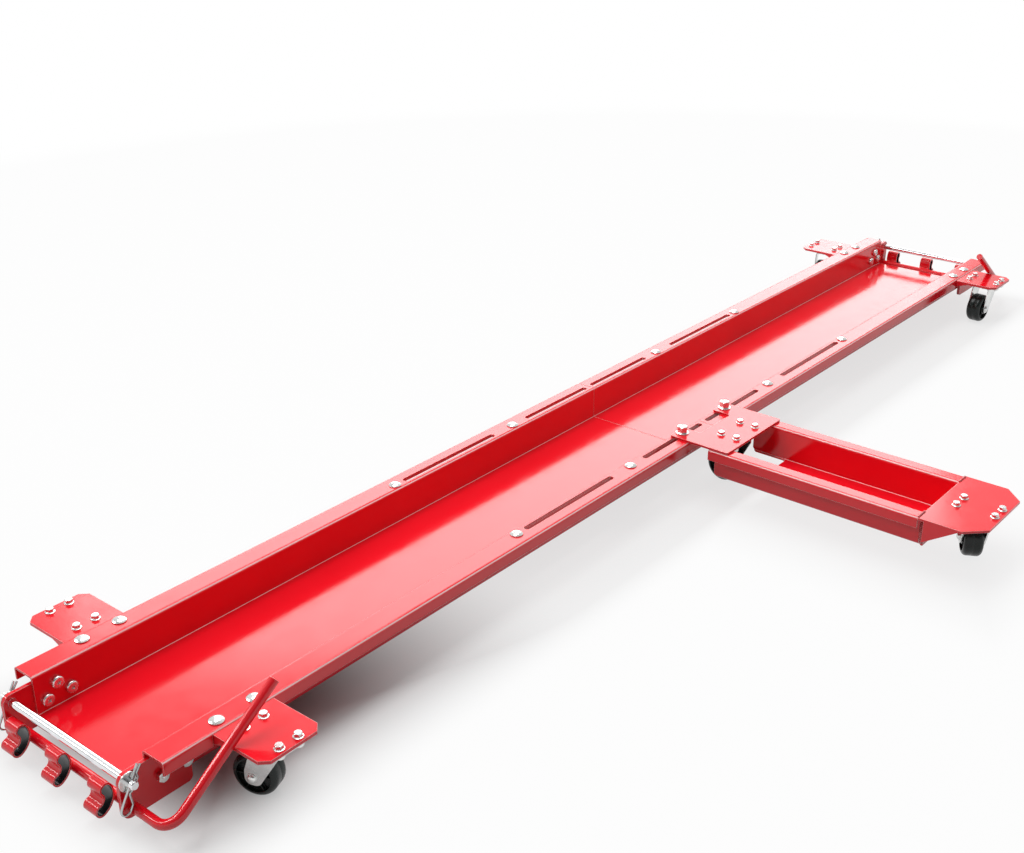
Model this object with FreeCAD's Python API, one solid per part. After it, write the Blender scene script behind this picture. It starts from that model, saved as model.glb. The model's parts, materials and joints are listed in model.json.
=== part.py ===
"""Motorcycle mover dolly: a two-piece folded rail on castors, with a sliding side-stand tray,
a floor lock with a lever at each end, and a ramp rod at each end.

Millimetres, +Z up, X along the rail, floor at Z = 0. The front end is at -X and the tray is on
the left, at -Y. Pieces are modelled about the rail's centre line and shifted once, on export,
so that the origin lies under the middle of the whole dolly.
"""
import FreeCAD, Part
import math
import os
from FreeCAD import Vector

# Rail: a folded sheet trough with flanges and turned-down lips
rail_length = 2468.0
trough_width = 234.0
trough_depth = 60.0
flange_width = 41.0
lip_depth = 20.0
sheet = 3.0
bend_inside = 2.0
rail_height = 97.0
seam_gap = 1.0

# Slots and splice bolts along the flanges, one after another from the seam
slot_width = 11.0
slot_from_trough = 14.0
seam_to_slot = 8.5
inner_slot_length = 183.0
slot_to_bolt = 39.5
bolt_to_slot = 53.0
outer_slot_length = 233.0
slot_to_last_bolt = 21.0

# Splice angles under the flanges
angle_leg = 32.0
angle_drop = 15.0
angle_end = 50.0
window_margin = 1.0

# Corner castor plates under the flanges
castor_plate_width = 98.0
castor_plate_from_end = 125.0
castor_plate_overhang = 93.0
castor_plate_thickness = 5.0
castor_plate_gap = 4.0
castor_plate_chamfer = 11.5
castor_inset = 42.0
gusset_depth = 27.0
gusset_run = 76.0
lip_cut_gap = 1.5
plate_bolt_spacing = 61.0
plate_bolt_from_edge = 16.0

# End brackets outside the trough walls
bracket_thickness = 6.0
bracket_overlap = 62.0
bracket_edge = 13.0
bracket_corner = 8.0
bracket_screw_shares = ((0.27, 0.72), (0.86, 0.70), (0.55, 0.40))

# Ramp rods, with washers and spring clips
rod_diameter = 12.0
rod_beyond_end = 30.0
rod_drop = 24.0
rod_end_length = 15.0
washer_diameter = 27.0
washer_thickness = 2.0
washer_sides = 16
clip_wire = 3.2
clip_prong = 25.0
clip_loop_reach = 42.0
clip_loop_width = 15.0
clip_neck = 13.0
clip_wire_sides = 6
clip_loop_steps = 5

# Floor locks: a round bar bent into a lever, with three bean-section feet
bar_diameter = 14.0
bar_beyond_end = 26.0
bar_drop = 66.0
bar_edge = 5.0
bar_end_length = 9.0
lever_from_bracket = 69.0
lever_length = 213.0
lever_bend = 26.0
rest_gap = 0.4
foot_lobe_radius = 9.0
foot_lobe_spacing = 28.6
foot_dent = 1.2
foot_wall = 2.4
foot_length = 26.0
foot_spacing = 90.0
foot_shift = 8.0
foot_tilt = 19.4

# Side-stand tray: a folded trough across the rail, hung from the left flange
tray_width = 132.0
tray_depth = 58.0
tray_flange = 28.0
tray_lip = 19.0
tray_from_flange = 42.0
tray_length = 390.0
tray_floor_gap = 10.0
tray_wall_corner = 7.0
tray_plate_thickness = 4.0
tray_plate_overlap = 38.0
tray_plate_inset = 2.0
tray_plate_side = 2.0
notch_width = 100.0
notch_behind_lip = 2.0
notch_corner = 4.0
tray_castor_from_edge = 34.0
outer_plate_length = 105.0
outer_plate_chamfer = 32.0
outer_castor_inset = 43.0
outer_gusset_depth = 42.0
outer_gusset_run = 63.0
outer_gusset_gap = 10.0

# Castors
wheel_diameter = 63.5
wheel_width = 32.0
wheel_chamfer = 6.0
bush_diameter = 14.0
castor_trail = 22.0
mount_length = 80.0
mount_width = 46.0
mount_thickness = 3.0
mount_corner = 5.0
bolt_spacing_long = 64.0
bolt_spacing_short = 31.0
race_diameter = 40.0
race_height = 5.0
king_pin_diameter = 11.0
king_pin_nut = 17.0
king_pin_nut_height = 4.0
fork_sheet = 2.5
fork_bend = 6.0
fork_front = 16.0
fork_back = 19.0
fork_front_drop = 14.0
fork_boss = 10.0
fork_side_gap = 1.5

# Rest headings of the castors' trails, in degrees from +X
castor_headings = {
    "front_left": 110.0,
    "front_right": 250.0,
    "rear_left": 177.0,
    "rear_right": 200.0,
    "tray_inner": 85.0,
    "tray_outer": 30.0,
}

# Fasteners
clamp_bolt_diameter = 10.0
dome_diameter = 21.0
dome_height = 5.5
big_nut_across = 17.0
big_nut_height = 8.0
small_head_height = 6.5
small_nut_across = 12.0
small_nut_height = 5.5
pan_diameter = 18.0
pan_height = 6.0
head_sides = 12
head_crown_share = 0.6
thread_end = 2.0
clamp_head_height = 12.0
clamp_washer_diameter = 24.0
clamp_washer_thickness = 2.0

# Fits
bolt_clearance = 0.3
running_clearance = 0.05
running_gap = 0.3
slide_gap = 0.1
seat_clearance = 0.05
overrun = 5.0
tiny = 1e-6

# Sizes worked out from those above
flange_top = rail_height
flange_under = flange_top - sheet
rail_half_length = rail_length / 2
trough_half = trough_width / 2
wall_face = trough_half + sheet
rail_half_width = trough_half + flange_width
bend_outside = bend_inside + sheet
slot_line = trough_half + slot_from_trough
inner_slot = (seam_to_slot, seam_to_slot + inner_slot_length)
first_bolt = inner_slot[1] + slot_to_bolt
outer_slot = (first_bolt + bolt_to_slot, first_bolt + bolt_to_slot + outer_slot_length)
last_bolt = outer_slot[1] + slot_to_last_bolt
angle_half_length = last_bolt + angle_end
plate_x = rail_half_length - castor_plate_from_end
plate_edge_x = plate_x + castor_plate_width / 2
plate_inner_y = wall_face + castor_plate_gap
plate_outer_y = rail_half_width + castor_plate_overhang
plate_under = flange_under - castor_plate_thickness
corner_castor_y = plate_outer_y - castor_inset
plate_bolt_y = rail_half_width - plate_bolt_from_edge
bracket_face = wall_face + bracket_thickness
rod_x = rail_half_length + rod_beyond_end
rod_z = flange_top - rod_drop
bar_x = rail_half_length + bar_beyond_end
bar_z = flange_top - bar_drop
rod_radius = rod_diameter / 2
bar_radius = bar_diameter / 2
clip_y = bracket_face + washer_thickness + clip_wire
wheel_radius = wheel_diameter / 2
castor_swing = math.hypot(castor_trail + wheel_radius, wheel_width / 2)
tray_half = tray_width / 2
tray_half_width = tray_half + tray_flange
tray_start = rail_half_width + tray_from_flange
tray_end = tray_start + tray_length
inner_plate_start = trough_half + tray_plate_inset
inner_plate_end = tray_start + tray_plate_overlap
inner_plate_half = tray_half_width - tray_plate_side
inner_castor_y = inner_plate_end - tray_castor_from_edge
tray_floor_start = inner_castor_y + castor_swing + tray_floor_gap
notch_depth_y = rail_half_width - notch_behind_lip
clamp_x = (notch_width / 2 + inner_plate_half) / 2
outer_plate_end = tray_end + outer_plate_length
outer_castor_y = outer_plate_end - outer_castor_inset
rail_y = (outer_plate_end - plate_outer_y) / 2


# Shared shapes

def rounded_wire(points, radii, closed=True):
    """Straight runs through the points, each corner rounded by its radius."""
    count = len(points)
    starts = []
    arcs = []
    ends = []
    for i, point in enumerate(points):
        radius = radii[i]
        if radius == 0 or (not closed and i in (0, count - 1)):
            starts.append(point)
            ends.append(point)
            arcs.append(None)
            continue
        back = (points[i - 1] - point).normalize()
        ahead = (points[(i + 1) % count] - point).normalize()
        half = back.getAngle(ahead) / 2
        tangent = radius / math.tan(half)
        inward = (back + ahead).normalize()
        middle = point + inward * (radius / math.sin(half) - radius)
        starts.append(point + back * tangent)
        ends.append(point + ahead * tangent)
        arcs.append(middle)
    edges = []
    for i in range(count):
        if arcs[i] is not None:
            edges.append(Part.Arc(starts[i], arcs[i], ends[i]).toShape())
        last = not closed and i == count - 1
        following = starts[(i + 1) % count]
        if not last and (following - ends[i]).Length > tiny:
            edges.append(Part.LineSegment(ends[i], following).toShape())
    return Part.Wire(edges)


def prism(corners, place, depth):
    """Solid of a rounded outline: corners are (u, v, radius), place puts (u, v) in space."""
    points = [place(u, v) for u, v, radius in corners]
    wire = rounded_wire(points, [radius for u, v, radius in corners])
    return Part.Face(wire).extrude(depth)


def level(z):
    """Puts an outline on a level plane."""
    return lambda u, v: Vector(u, v, z)


def across(x):
    """Puts an outline on a plane across the rail."""
    return lambda u, v: Vector(x, u, v)


def upright(y):
    """Puts an outline on an upright plane along the rail."""
    return lambda u, v: Vector(u, y, v)


def rod_along(start, end, radius):
    """Plain round rod between two points."""
    return Part.makeCylinder(radius, (end - start).Length, start, end - start)


def ring_points(radius, sides, base):
    """Corners of a level regular polygon, the first on +X."""
    turns = [2 * math.pi * step / sides for step in range(sides)]
    return [base + Vector(radius * math.cos(a), radius * math.sin(a), 0) for a in turns]


def flat_face(points):
    """Plane face through its corners."""
    return Part.Face(Part.makePolygon(points + points[:1]))


def hexagon(across_flats, height, base):
    """Hexagonal prism standing on base."""
    return flat_face(ring_points(across_flats / math.sqrt(3), 6, base)).extrude(Vector(0, 0, height))


def faceted_head(diameter, height, crown_share):
    """Low round head with plane facets, drawn in towards its top by crown_share."""
    radius = diameter / 2
    brim = height * (1 - crown_share)
    levels = [(radius, 0), (radius, brim), (radius * crown_share, height)]
    rings = [ring_points(r, head_sides, Vector(0, 0, z)) for r, z in levels]
    faces = [flat_face(rings[0]), flat_face(rings[-1])]
    for low, high in zip(rings, rings[1:]):
        for i in range(head_sides):
            faces.append(flat_face([low[i - 1], low[i], high[i], high[i - 1]]))
    return Part.Solid(Part.Shell(faces))


def turned(points):
    """Solid of revolution about Z: points are (radius, height)."""
    outline = [Vector(r, 0, z) for r, z in points]
    return Part.Face(Part.makePolygon(outline + outline[:1])).revolve(Vector(0, 0, 0), Vector(0, 0, 1), 360)


def head_and_nut(head, grip, nut_across, nut_height):
    """What shows of a bolt: its head, with its flat on Z = 0, and the nut below the grip."""
    return [head, hexagon(nut_across, nut_height, Vector(0, 0, -grip - nut_height))]


def placed(solids, position, axis=Vector(0, 0, 1)):
    """Copies of the solids with their Z axis turned to axis and their origin at position."""
    turn = FreeCAD.Rotation(Vector(0, 0, 1), axis)
    copies = [solid.copy() for solid in solids]
    for copy in copies:
        copy.Placement = FreeCAD.Placement(position, turn).multiply(copy.Placement)
    return copies


def mirrored(shape, x_sign, y_sign):
    """The front left shape, carried to another corner of the rail."""
    result = shape.copy()
    if x_sign > 0:
        result = result.mirror(Vector(0, 0, 0), Vector(1, 0, 0))
    if y_sign > 0:
        result = result.mirror(Vector(0, 0, 0), Vector(0, 1, 0))
    return result


def export(node, solids):
    """Writes one node, shifted from the rail's centre line to the part's origin."""
    shape = solids[0] if len(solids) == 1 else Part.makeCompound(solids)
    shape = shape.copy()
    shape.translate(Vector(0, rail_y, 0))
    shape.exportStep("parts/" + node + ".step")


# Trough sections

def trough_section(inner_half, outer_half, depth, lip):
    """Folded trough with flanges and lips, about its centre line, with flange tops at zero."""
    right = [
        (inner_half, -depth, bend_inside),
        (inner_half, 0, bend_outside),
        (outer_half, 0, bend_outside),
        (outer_half, -lip, 0),
        (outer_half - sheet, -lip, 0),
        (outer_half - sheet, -sheet, bend_inside),
        (inner_half + sheet, -sheet, bend_inside),
        (inner_half + sheet, -depth - sheet, bend_outside),
    ]
    left = [(-u, v, radius) for u, v, radius in reversed(right)]
    return [(u, v + flange_top, radius) for u, v, radius in right + left]


def slot_tools(span, y, bottom, height):
    """Cutting tools of a round-ended slot from span[0] to span[1] along -X."""
    radius = slot_width / 2
    near = -span[0] - radius
    far = -span[1] + radius
    box = Part.makeBox(near - far, slot_width, height, Vector(far, y - radius, bottom))
    ends = [Part.makeCylinder(radius, height, Vector(x, y, bottom)) for x in (near, far)]
    return [box] + ends


def bracket_screw_places():
    """X and Z of the screws that hold an end bracket, at the front end."""
    return [
        (-rail_half_length + along * bracket_overlap, flange_top - down * trough_depth)
        for along, down in bracket_screw_shares
    ]


# Rail halves

def rail_half():
    section = trough_section(trough_half, rail_half_width, trough_depth, lip_depth)
    seam = -seam_gap / 2
    rail = prism(section, across(seam), Vector(-rail_half_length - seam, 0, 0))
    bottom = flange_under - overrun
    height = sheet + 2 * overrun
    tools = []
    for side in (-1, 1):
        tools += slot_tools(inner_slot, side * slot_line, bottom, height)
        tools += slot_tools(outer_slot, side * slot_line, bottom, height)
        lip_width = castor_plate_width + 2 * lip_cut_gap
        lip_inner = rail_half_width - sheet - bend_inside
        lip_corner = min(side * lip_inner, side * (rail_half_width + overrun))
        corner = Vector(-plate_x - lip_width / 2, lip_corner, flange_top - lip_depth - overrun)
        lip_reach = rail_half_width + overrun - lip_inner
        tools.append(Part.makeBox(lip_width, lip_reach, lip_depth + overrun - sheet, corner))
    return rail.cut(tools)


# Splice angles

def splice_angle():
    """Left angle under the flange and behind its lip, with windows under the flange's slots."""
    outside = rail_half_width - sheet
    inside = outside - angle_leg
    corners = [
        (-outside, flange_under, bend_outside),
        (-outside, flange_under - angle_drop, 0),
        (-outside + sheet, flange_under - angle_drop, 0),
        (-outside + sheet, flange_under - sheet, bend_inside),
        (-inside, flange_under - sheet, 0),
        (-inside, flange_under, 0),
    ]
    angle = prism(corners, across(-angle_half_length), Vector(2 * angle_half_length, 0, 0))
    width = slot_width + 2 * window_margin
    height = sheet + 2 * overrun
    tools = []
    for span in (inner_slot, outer_slot):
        length = span[1] - span[0] + 2 * window_margin
        corner = Vector(-span[1] - window_margin, -slot_line - width / 2, flange_under - sheet - overrun)
        tools.append(Part.makeBox(length, width, height, corner))
    tools += [mirrored(tool, 1, -1) for tool in tools]
    return angle.cut(tools)


def splice_bolts():
    head = faceted_head(dome_diameter, dome_height, head_crown_share)
    bolt = head_and_nut(head, 2 * sheet, big_nut_across, big_nut_height)
    solids = []
    for x in (-last_bolt, -first_bolt, first_bolt, last_bolt):
        for y in (-slot_line, slot_line):
            solids += placed(bolt, Vector(x, y, flange_top))
    return solids


# Corner castor plates

def gusset(x, y, top, run, depth, thickness):
    """Triangular flange bent down along a plate's edge, tapering outwards from y."""
    corners = [
        (y, top, 0),
        (y - run, top, 0),
        (y, top - depth, 0),
    ]
    return prism(corners, across(x), Vector(thickness, 0, 0))


def castor_bolt_places(x, y, long_on_y):
    """X and Y of the four bolts of a castor mount."""
    half_x = bolt_spacing_long / 2
    half_y = bolt_spacing_short / 2
    if long_on_y:
        half_x, half_y = half_y, half_x
    return [(x + i * half_x, y + j * half_y) for i in (-1, 1) for j in (-1, 1)]


def castor_plate():
    """Front left plate, with its bent-down gussets."""
    half = castor_plate_width / 2
    corners = [
        (-plate_x - half, -plate_inner_y, 0),
        (-plate_x + half, -plate_inner_y, 0),
        (-plate_x + half, -plate_outer_y + castor_plate_chamfer, 0),
        (-plate_x + half - castor_plate_chamfer, -plate_outer_y, 0),
        (-plate_x - half + castor_plate_chamfer, -plate_outer_y, 0),
        (-plate_x - half, -plate_outer_y + castor_plate_chamfer, 0),
    ]
    plate = prism(corners, level(plate_under), Vector(0, 0, castor_plate_thickness))
    thickness = castor_plate_thickness
    for x in (-plate_x - half, -plate_x + half - thickness):
        side = gusset(x, -plate_inner_y, flange_under, gusset_run, gusset_depth, thickness)
        plate = plate.fuse(side)
    return plate.removeSplitter()


def castor_plate_bolts():
    head = faceted_head(dome_diameter, dome_height, head_crown_share)
    bolt = head_and_nut(head, sheet + castor_plate_thickness, big_nut_across, big_nut_height)
    solids = []
    for x_sign in (-1, 1):
        for y in (-plate_bolt_y, plate_bolt_y):
            for step in (-1, 1):
                x = x_sign * plate_x + step * plate_bolt_spacing / 2
                solids += placed(bolt, Vector(x, y, flange_top))
    return solids


# End brackets

def end_bracket():
    """Front left bracket, bored for the ramp rod and the lock's bar."""
    front = -rod_x - bracket_edge
    back = -rail_half_length + bracket_overlap
    top = rod_z + bracket_edge
    bottom = bar_z - bar_radius - bar_edge
    corners = [
        (front, top, bracket_edge),
        (back, top, bracket_corner),
        (back, bottom, bracket_corner),
        (front, bottom, bracket_edge),
    ]
    bracket = prism(corners, upright(-bracket_face), Vector(0, bracket_thickness, 0))
    start = -bracket_face - overrun
    end = -wall_face + overrun
    holes = [
        (-rod_x, rod_z, rod_radius + running_clearance),
        (-bar_x, bar_z, bar_radius + running_clearance),
    ]
    return bracket.cut([rod_along(Vector(x, start, z), Vector(x, end, z), r) for x, z, r in holes])


def end_bracket_bolts():
    head = faceted_head(pan_diameter, pan_height, head_crown_share)
    bolt = head_and_nut(head, sheet + bracket_thickness, small_nut_across, small_nut_height)
    solids = []
    for x, z in bracket_screw_places():
        for x_sign in (-1, 1):
            for side in (-1, 1):
                position = Vector(-x_sign * x, side * trough_half, z)
                solids += placed(bolt, position, Vector(0, -side, 0))
    return solids


# Castors

def castor_mount(top):
    """Top plate with its race and king pin, about the swivel axis, with its top face at top."""
    half_long = mount_length / 2
    half_short = mount_width / 2
    cut_long = half_long - mount_corner
    cut_short = half_short - mount_corner
    corners = [
        (-half_short, -cut_long, 0),
        (-cut_short, -half_long, 0),
        (cut_short, -half_long, 0),
        (half_short, -cut_long, 0),
        (half_short, cut_long, 0),
        (cut_short, half_long, 0),
        (-cut_short, half_long, 0),
        (-half_short, cut_long, 0),
    ]
    under = top - mount_thickness
    plate = prism(corners, level(under), Vector(0, 0, mount_thickness))
    race = Part.makeCylinder(race_diameter / 2, race_height, Vector(0, 0, under - race_height))
    crown_under = under - race_height - running_gap - fork_sheet
    head_top = crown_under - running_gap
    pin = Part.makeCylinder(king_pin_diameter / 2, under - head_top, Vector(0, 0, head_top))
    nut = hexagon(king_pin_nut, king_pin_nut_height, Vector(0, 0, head_top - king_pin_nut_height))
    return plate.fuse([race, pin, nut]).removeSplitter()


def castor_fork(top):
    """Pressed fork with its trail along +X, for a mount whose top face is at top."""
    crown = top - mount_thickness - race_height - running_gap
    inside = wheel_width / 2 + fork_side_gap
    outside = inside + fork_sheet
    low = wheel_radius - fork_boss
    bend = [
        (-outside, low, 0),
        (-outside, crown, fork_bend),
        (outside, crown, fork_bend),
        (outside, low, 0),
        (inside, low, 0),
        (inside, crown - fork_sheet, fork_bend - fork_sheet),
        (-inside, crown - fork_sheet, fork_bend - fork_sheet),
        (-inside, low, 0),
    ]
    length = fork_front + castor_trail + fork_boss
    pressing = prism(bend, across(-fork_front), Vector(length, 0, 0))
    side = [
        (-fork_front, crown, 0),
        (fork_back, crown, 0),
        (castor_trail + fork_boss, wheel_radius + fork_boss, fork_boss),
        (castor_trail + fork_boss, low, fork_boss),
        (castor_trail - fork_boss, low, fork_boss),
        (-fork_front, crown - fork_front_drop, 0),
    ]
    fork = pressing.common(prism(side, upright(-outside), Vector(0, 2 * outside, 0)))
    pin_radius = king_pin_diameter / 2 + running_clearance
    pin_base = Vector(0, 0, crown - fork_sheet - overrun)
    return fork.cut(Part.makeCylinder(pin_radius, fork_sheet + 2 * overrun, pin_base))


def castor_axle():
    """What shows of the axle bolt: its head and nut on the fork's legs."""
    outside = wheel_width / 2 + fork_side_gap + fork_sheet
    head = hexagon(small_nut_across, small_head_height, Vector(0, 0, 0))
    bolt = head_and_nut(head, 2 * outside, small_nut_across, small_nut_height)
    return placed(bolt, Vector(castor_trail, -outside, wheel_radius), Vector(0, -1, 0))


def castor_bush():
    """Bush that the wheel turns on, clamped between the fork's legs."""
    half = wheel_width / 2 + fork_side_gap
    start = Vector(castor_trail, -half, wheel_radius)
    return rod_along(start, Vector(castor_trail, half, wheel_radius), bush_diameter / 2)


def castor_wheel():
    """Moulded wheel with chamfered shoulders, bored for its bush."""
    half = wheel_width / 2
    bore = bush_diameter / 2 + running_clearance
    one_side = [
        (bore, half),
        (wheel_radius - wheel_chamfer, half),
        (wheel_radius, half - wheel_chamfer),
    ]
    profile = one_side + [(r, -z) for r, z in reversed(one_side)]
    return placed([turned(profile)], Vector(castor_trail, 0, wheel_radius), Vector(0, -1, 0))[0]


def export_castor(name, x, y, top, long_on_y):
    """Writes one castor's mount, fork, axle, bush and wheel."""
    mount = castor_mount(top)
    if not long_on_y:
        mount.rotate(Vector(0, 0, 0), Vector(0, 0, 1), 90)
    mount.translate(Vector(x, y, 0))
    export("castor_mount_" + name, [mount])
    turning = {
        "castor_fork_": [castor_fork(top)],
        "castor_axle_": castor_axle(),
        "castor_bush_": [castor_bush()],
        "castor_wheel_": [castor_wheel()],
    }
    for prefix, solids in turning.items():
        for solid in solids:
            solid.rotate(Vector(0, 0, 0), Vector(0, 0, 1), castor_headings[name])
            solid.translate(Vector(x, y, 0))
        export(prefix + name, solids)


def castor_bolts(x, y, plate_top, plate_thickness, long_on_y):
    """Four hex bolts through a plate and the castor mount under it."""
    head = hexagon(small_nut_across, small_head_height, Vector(0, 0, 0))
    bolt = head_and_nut(head, plate_thickness + mount_thickness, small_nut_across, small_nut_height)
    solids = []
    for u, v in castor_bolt_places(x, y, long_on_y):
        solids += placed(bolt, Vector(u, v, plate_top))
    return solids


# Floor locks

def lever_angle():
    """Angle above level at which the lever rests on the castor plate's end edge."""
    run = bar_x - plate_edge_x
    rise = flange_under - bar_z
    lift = math.asin((bar_radius + rest_gap) / math.hypot(run, rise))
    return math.atan2(rise, run) + lift


def brake_bar():
    """Front bar through both brackets, bent on the left into the lever."""
    angle = lever_angle()
    lever_y = -bracket_face - lever_from_bracket
    start = Vector(-bar_x, bracket_face + bar_end_length, bar_z)
    corner = Vector(-bar_x, lever_y, bar_z)
    end = corner + Vector(math.cos(angle), 0, math.sin(angle)) * lever_length
    path = rounded_wire([start, corner, end], [0, lever_bend, 0], closed=False)
    ring = Part.Wire(Part.Circle(start, Vector(0, 1, 0), bar_radius).toShape())
    return path.makePipeShell([ring], True, True)


def bean_face(shrink):
    """Bean section about its middle: u towards the bar, v along the bean, all sides in by shrink."""
    lobe = foot_lobe_radius
    half = foot_lobe_spacing / 2
    bulge = bar_z - lobe - bar_radius
    back = bulge - lobe
    bulge_centre = (back ** 2 - half ** 2) / (2 * back)
    bulge_radius = bulge - bulge_centre
    reach = lobe - foot_dent
    dent_centre = (half ** 2 - reach ** 2) / (2 * reach)
    dent_radius = dent_centre - foot_dent
    upper = Vector(0, half, 0)
    middle = Vector(bulge_centre, 0, 0)
    hollow = Vector(-dent_centre, 0, 0)
    on_bulge = middle + (upper - middle).normalize() * (bulge_radius - shrink)
    on_dent = hollow + (upper - hollow).normalize() * (dent_radius + shrink)
    tip = Vector(0, half + lobe - shrink, 0)
    low_bulge = Vector(on_bulge.x, -on_bulge.y, 0)
    low_dent = Vector(on_dent.x, -on_dent.y, 0)
    low_tip = -tip
    edges = [
        Part.Arc(on_dent, tip, on_bulge).toShape(),
        Part.Arc(on_bulge, Vector(bulge - shrink, 0, 0), low_bulge).toShape(),
        Part.Arc(low_bulge, low_tip, low_dent).toShape(),
        Part.Arc(low_dent, Vector(-foot_dent + shrink, 0, 0), on_dent).toShape(),
    ]
    return Part.Face(Part.Wire(edges))


def brake_feet():
    """Three bean tubes welded to the front bar, which stand on the floor when the lever is over."""
    length = Vector(0, 0, foot_length)
    tube = bean_face(0).extrude(length).cut(bean_face(foot_wall).extrude(length))
    tube.rotate(Vector(0, 0, 0), Vector(1, 0, 0), 90)
    reach = bar_z - foot_lobe_radius
    tube.translate(Vector(-reach, foot_length / 2, 0))
    tube.rotate(Vector(0, 0, 0), Vector(0, 1, 0), foot_tilt)
    feet = []
    for step in (-1, 0, 1):
        foot = tube.copy()
        foot.translate(Vector(-bar_x, foot_shift + step * foot_spacing, bar_z))
        feet.append(foot)
    saddle_start = Vector(-bar_x, -bracket_face, bar_z)
    saddle_end = Vector(-bar_x, bracket_face, bar_z)
    saddle = rod_along(saddle_start, saddle_end, bar_radius + seat_clearance)
    return [foot.cut(saddle) for foot in feet]


# Ramp rods

def clip_angle():
    """Angle from +X at which a front clip hangs, with its loop resting on the lock's bar."""
    to_bar = Vector(rod_x - bar_x, 0, bar_z - rod_z)
    stand_off = clip_loop_width + clip_wire / 2 + bar_radius + rest_gap
    return math.atan2(to_bar.z, to_bar.x) - math.asin(stand_off / to_bar.Length)


def clip_path(y):
    """Spring clip's wire in the plane at y: a straight prong through the rod and a bowed one."""
    step = rod_radius + clip_wire / 2 + running_gap
    beside = clip_wire + running_gap
    loop = clip_loop_width / 2
    turns = [math.pi * (i / clip_loop_steps - 1 / 2) for i in range(clip_loop_steps + 1)]
    outline = [(-clip_prong, 0)]
    outline += [(clip_loop_reach - loop + loop * math.cos(a), loop + loop * math.sin(a)) for a in turns]
    outline += [
        ((clip_loop_reach + clip_neck) / 2, clip_loop_width),
        (clip_neck, beside),
        (step, step),
        (-step, step),
        (-clip_neck, beside),
        (-clip_prong, beside + clip_wire / 2),
    ]
    angle = clip_angle()
    along = Vector(math.cos(angle), 0, math.sin(angle))
    aside = Vector(-math.sin(angle), 0, math.cos(angle))
    centre = Vector(-rod_x, y, rod_z)
    return Part.makePolygon([centre + along * u + aside * v for u, v in outline]), along


def ramp_rod():
    """Front rod across the brackets, cross-drilled for a clip at each end."""
    reach = bracket_face + rod_end_length
    rod = rod_along(Vector(-rod_x, -reach, rod_z), Vector(-rod_x, reach, rod_z), rod_radius)
    angle = clip_angle()
    along = Vector(math.cos(angle), 0, math.sin(angle)) * rod_diameter
    tools = []
    for y in (-clip_y, clip_y):
        centre = Vector(-rod_x, y, rod_z)
        tools.append(rod_along(centre - along, centre + along, clip_wire / 2 + seat_clearance))
    return rod.cut(tools)


def rod_fasteners():
    """Washers and spring clips on both ends of the front rod."""
    bore = (rod_radius + seat_clearance) / math.cos(math.pi / washer_sides)
    rims = [ring_points(radius, washer_sides, Vector(0, 0, 0)) for radius in (washer_diameter / 2, bore)]
    washer = flat_face(rims[0]).cut(flat_face(rims[1])).extrude(Vector(0, 0, washer_thickness))
    solids = []
    for side in (-1, 1):
        seat = Vector(-rod_x, side * (bracket_face + slide_gap), rod_z)
        solids += placed([washer], seat, Vector(0, side, 0))
        path, along = clip_path(side * clip_y)
        ring = flat_face(ring_points(clip_wire / 2, clip_wire_sides, Vector(0, 0, 0))).OuterWire
        start = path.OrderedVertexes[0].Point
        ring.Placement = FreeCAD.Placement(start, FreeCAD.Rotation(Vector(0, 0, 1), along))
        solids.append(path.makePipeShell([ring], True, True, 1))
    return solids


# Side-stand tray

def tray_trough():
    """Tray's folded trough, with its floor cut back clear of the inner castor."""
    section = trough_section(tray_half, tray_half_width, tray_depth, tray_lip)
    trough = prism(section, upright(-tray_start), Vector(0, -tray_length, 0))
    floor_under = flange_top - tray_depth - sheet
    side = tray_half - bend_inside
    window = [
        (-side, -tray_start + overrun, 0),
        (side, -tray_start + overrun, 0),
        (side, -tray_floor_start, tray_wall_corner),
        (-side, -tray_floor_start, tray_wall_corner),
    ]
    corner = [
        (-tray_start + overrun, floor_under - overrun, 0),
        (-tray_start + overrun, floor_under + tray_wall_corner + overrun, 0),
        (-tray_start - tray_wall_corner - overrun, floor_under - overrun, 0),
    ]
    reach = tray_half_width + overrun
    floor_cut = prism(window, level(floor_under - overrun), Vector(0, 0, sheet + 2 * overrun))
    corner_cut = prism(corner, across(-reach), Vector(2 * reach, 0, 0))
    return trough.cut([floor_cut, corner_cut])


def tray_inner_plate():
    """Plate from the rail's flange to the tray, notched between its two clamp tabs."""
    half = inner_plate_half
    notch = notch_width / 2
    corners = [
        (-half, -inner_plate_start, notch_corner),
        (-notch, -inner_plate_start, notch_corner),
        (-notch, -notch_depth_y, notch_corner),
        (notch, -notch_depth_y, notch_corner),
        (notch, -inner_plate_start, notch_corner),
        (half, -inner_plate_start, notch_corner),
        (half, -inner_plate_end, notch_corner),
        (-half, -inner_plate_end, notch_corner),
    ]
    bottom = flange_top + slide_gap
    plate = prism(corners, level(bottom), Vector(0, 0, tray_plate_thickness))
    height = tray_plate_thickness + 2 * overrun
    radius = clamp_bolt_diameter / 2 + bolt_clearance
    places = [Vector(x, -slot_line, bottom - overrun) for x in (-clamp_x, clamp_x)]
    return plate.cut([Part.makeCylinder(radius, height, place) for place in places])


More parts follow.
